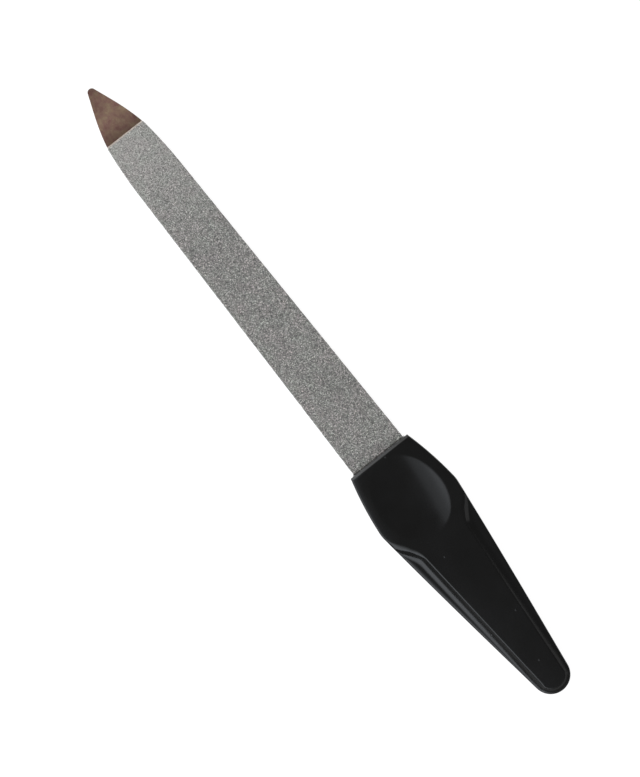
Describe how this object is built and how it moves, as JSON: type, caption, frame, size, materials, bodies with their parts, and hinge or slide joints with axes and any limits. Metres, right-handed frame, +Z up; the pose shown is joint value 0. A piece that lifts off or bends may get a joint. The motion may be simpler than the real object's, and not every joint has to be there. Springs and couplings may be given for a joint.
{
  "type": "nail file",
  "caption": "Flat tapered nail file with a grit-coated steel blade, a bare pointed cleaner tip and a moulded handle with thumb dishes.",
  "frame": {"origin": "middle of the underside of the whole file's box, on the surface that the handle lies on", "axes": "+X along the file from the handle to the tip, +Y across it, +Z up through its thickness"},
  "size_m": [0.15, 0.0186, 0.0062],
  "materials": {
    "steel": "polished blank with a warm brown tint on the bare tip",
    "grit": "crushed sapphire in a matt metal bond, grey with a fine sparkle",
    "handle_plastic": "glossy black moulding"
  },
  "bodies": {
    "root": {"blade": "steel", "grit_front": "grit", "grit_back": "grit", "handle": "handle_plastic"}
  },
  "joints": []
}
